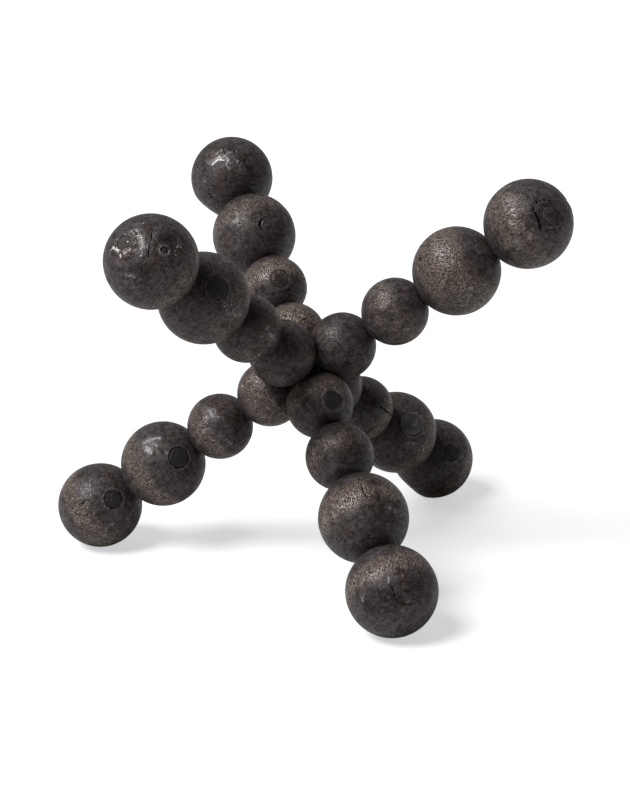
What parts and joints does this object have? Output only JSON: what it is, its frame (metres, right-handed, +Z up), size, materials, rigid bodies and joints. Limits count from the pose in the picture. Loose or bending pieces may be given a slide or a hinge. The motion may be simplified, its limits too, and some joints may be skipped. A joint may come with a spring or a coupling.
{
  "type": "magnetic desk sculpture",
  "caption": "Desk sculpture shaped like a toy jack: arms of blackened wooden balls, small then large, held on three crossed axes by magnets behind flats.",
  "frame": {"origin": "on the desk, straight below the jack's centre (bottom centre of the box)", "axes": "+Z up off the desk; +X over the arm that points to the upper right, which is the longest way across; +Y away from the viewer"},
  "size_m": [0.2976, 0.2644, 0.225],
  "materials": {
    "blackened_wood": "ebonised and waxed, satin, worn brown on the high spots",
    "plug_wood": "blackened, matt",
    "magnet_nickel": "nickel plated, dulled",
    "bearing_steel": "polished"
  },
  "bodies": {
    "core": {"steel_core": "bearing_steel"},
    "upper_right_inner": {"upper_right_inner_ball": "blackened_wood", "upper_right_inner_magnets": "magnet_nickel"},
    "upper_right_second": {"upper_right_second_ball": "blackened_wood", "upper_right_second_magnets": "magnet_nickel"},
    "upper_right_third": {"upper_right_third_ball": "blackened_wood", "upper_right_third_magnets": "magnet_nickel"},
    "upper_right_tip": {"upper_right_tip_ball": "blackened_wood", "upper_right_tip_magnets": "magnet_nickel", "upper_right_tip_plug": "plug_wood"},
    "upper_back_inner": {"upper_back_inner_ball": "blackened_wood", "upper_back_inner_magnets": "magnet_nickel"},
    "upper_back_second": {"upper_back_second_ball": "blackened_wood", "upper_back_second_magnets": "magnet_nickel", "upper_back_second_plug": "plug_wood"},
    "upper_back_third": {"upper_back_third_ball": "blackened_wood", "upper_back_third_magnets": "magnet_nickel", "upper_back_third_plug": "plug_wood"},
    "upper_back_tip": {"upper_back_tip_ball": "blackened_wood", "upper_back_tip_magnets": "magnet_nickel"},
    "upper_front_inner": {"upper_front_inner_ball": "blackened_wood", "upper_front_inner_magnets": "magnet_nickel"},
    "upper_front_second": {"upper_front_second_ball": "blackened_wood", "upper_front_second_magnets": "magnet_nickel"},
    "upper_front_third": {"upper_front_third_ball": "blackened_wood", "upper_front_third_magnets": "magnet_nickel", "upper_front_third_plug": "plug_wood"},
    "upper_front_tip": {"upper_front_tip_ball": "blackened_wood", "upper_front_tip_magnets": "magnet_nickel", "upper_front_tip_plug": "plug_wood"},
    "lower_back_inner": {"lower_back_inner_ball": "blackened_wood", "lower_back_inner_magnets": "magnet_nickel"},
    "lower_back_second": {"lower_back_second_ball": "blackened_wood", "lower_back_second_magnets": "magnet_nickel"},
    "lower_back_third": {"lower_back_third_ball": "blackened_wood", "lower_back_third_magnets": "magnet_nickel", "lower_back_third_plug": "plug_wood"},
    "lower_back_tip": {"lower_back_tip_ball": "blackened_wood", "lower_back_tip_magnets": "magnet_nickel", "lower_back_tip_plug": "plug_wood"},
    "lower_left_inner": {"lower_left_inner_ball": "blackened_wood", "lower_left_inner_magnets": "magnet_nickel"},
    "lower_left_second": {"lower_left_second_ball": "blackened_wood", "lower_left_second_magnets": "magnet_nickel"},
    "lower_left_third": {"lower_left_third_ball": "blackened_wood", "lower_left_third_magnets": "magnet_nickel", "lower_left_third_plug": "plug_wood"},
    "lower_left_tip": {"lower_left_tip_ball": "blackened_wood", "lower_left_tip_magnets": "magnet_nickel", "lower_left_tip_plug": "plug_wood"},
    "lower_front_inner": {"lower_front_inner_ball": "blackened_wood", "lower_front_inner_magnets": "magnet_nickel", "lower_front_inner_plug": "plug_wood"},
    "lower_front_second": {"lower_front_second_ball": "blackened_wood", "lower_front_second_magnets": "magnet_nickel"},
    "lower_front_third": {"lower_front_third_ball": "blackened_wood", "lower_front_third_magnets": "magnet_nickel"},
    "lower_front_tip": {"lower_front_tip_ball": "blackened_wood", "lower_front_tip_magnets": "magnet_nickel", "lower_front_tip_plug": "plug_wood"}
  },
  "joints": [
    {"name": "upper_right_arm_pull", "type": "slide", "parent": "core", "child": "upper_right_inner", "axis": [0.8165, 0, 0.5774], "range_m": [0, 0.03]},
    {"name": "upper_right_second_spin", "type": "hinge", "parent": "upper_right_inner", "child": "upper_right_second", "pos_m": [0.05074, 0, 0.14836], "axis": [0.8165, 0, 0.5774], "continuous": true},
    {"name": "upper_right_third_spin", "type": "hinge", "parent": "upper_right_second", "child": "upper_right_third", "pos_m": [0.08511, 0, 0.17266], "axis": [0.8165, 0, 0.5774], "continuous": true},
    {"name": "upper_right_tip_pull", "type": "slide", "parent": "upper_right_third", "child": "upper_right_tip", "axis": [0.8165, 0, 0.5774], "range_m": [0, 0.03]},
    {"name": "upper_back_arm_pull", "type": "slide", "parent": "core", "child": "upper_back_inner", "axis": [-0.4082, 0.7071, 0.5774], "range_m": [0, 0.03]},
    {"name": "upper_back_second_spin", "type": "hinge", "parent": "upper_back_inner", "child": "upper_back_second", "pos_m": [-0.02537, 0.04394, 0.14836], "axis": [-0.4082, 0.7071, 0.5774], "continuous": true},
    {"name": "upper_back_third_spin", "type": "hinge", "parent": "upper_back_second", "child": "upper_back_third", "pos_m": [-0.04256, 0.07371, 0.17266], "axis": [-0.4082, 0.7071, 0.5774], "continuous": true},
    {"name": "upper_back_tip_pull", "type": "slide", "parent": "upper_back_third", "child": "upper_back_tip", "axis": [-0.4082, 0.7071, 0.5774], "range_m": [0, 0.03]},
    {"name": "upper_front_arm_pull", "type": "slide", "parent": "core", "child": "upper_front_inner", "axis": [-0.4082, -0.7071, 0.5774], "range_m": [0, 0.03]},
    {"name": "upper_front_second_spin", "type": "hinge", "parent": "upper_front_inner", "child": "upper_front_second", "pos_m": [-0.02537, -0.04394, 0.14836], "axis": [-0.4082, -0.7071, 0.5774], "continuous": true},
    {"name": "upper_front_third_spin", "type": "hinge", "parent": "upper_front_second", "child": "upper_front_third", "pos_m": [-0.04256, -0.07371, 0.17266], "axis": [-0.4082, -0.7071, 0.5774], "continuous": true},
    {"name": "upper_front_tip_pull", "type": "slide", "parent": "upper_front_third", "child": "upper_front_tip", "axis": [-0.4082, -0.7071, 0.5774], "range_m": [0, 0.03]},
    {"name": "lower_back_arm_pull", "type": "slide", "parent": "core", "child": "lower_back_inner", "axis": [0.4082, 0.7071, -0.5774], "range_m": [0, 0.03]},
    {"name": "lower_back_second_spin", "type": "hinge", "parent": "lower_back_inner", "child": "lower_back_second", "pos_m": [0.02537, 0.04394, 0.0766], "axis": [0.4082, 0.7071, -0.5774], "continuous": true},
    {"name": "lower_back_third_spin", "type": "hinge", "parent": "lower_back_second", "child": "lower_back_third", "pos_m": [0.04256, 0.07371, 0.0523], "axis": [0.4082, 0.7071, -0.5774], "continuous": true},
    {"name": "lower_back_tip_pull", "type": "slide", "parent": "lower_back_third", "child": "lower_back_tip", "axis": [0.4082, 0.7071, -0.5774], "range_m": [0, 0.03]},
    {"name": "lower_left_arm_pull", "type": "slide", "parent": "core", "child": "lower_left_inner", "axis": [-0.8165, 0, -0.5774], "range_m": [0, 0.03]},
    {"name": "lower_left_second_spin", "type": "hinge", "parent": "lower_left_inner", "child": "lower_left_second", "pos_m": [-0.05074, 0, 0.0766], "axis": [-0.8165, 0, -0.5774], "continuous": true},
    {"name": "lower_left_third_spin", "type": "hinge", "parent": "lower_left_second", "child": "lower_left_third", "pos_m": [-0.08511, 0, 0.0523], "axis": [-0.8165, 0, -0.5774], "continuous": true},
    {"name": "lower_left_tip_pull", "type": "slide", "parent": "lower_left_third", "child": "lower_left_tip", "axis": [-0.8165, 0, -0.5774], "range_m": [0, 0.03]},
    {"name": "lower_front_arm_pull", "type": "slide", "parent": "core", "child": "lower_front_inner", "axis": [0.4082, -0.7071, -0.5774], "range_m": [0, 0.03]},
    {"name": "lower_front_second_spin", "type": "hinge", "parent": "lower_front_inner", "child": "lower_front_second", "pos_m": [0.02537, -0.04394, 0.0766], "axis": [0.4082, -0.7071, -0.5774], "continuous": true},
    {"name": "lower_front_third_spin", "type": "hinge", "parent": "lower_front_second", "child": "lower_front_third", "pos_m": [0.04256, -0.07371, 0.0523], "axis": [0.4082, -0.7071, -0.5774], "continuous": true},
    {"name": "lower_front_tip_pull", "type": "slide", "parent": "lower_front_third", "child": "lower_front_tip", "axis": [0.4082, -0.7071, -0.5774], "range_m": [0, 0.03]}
  ]
}
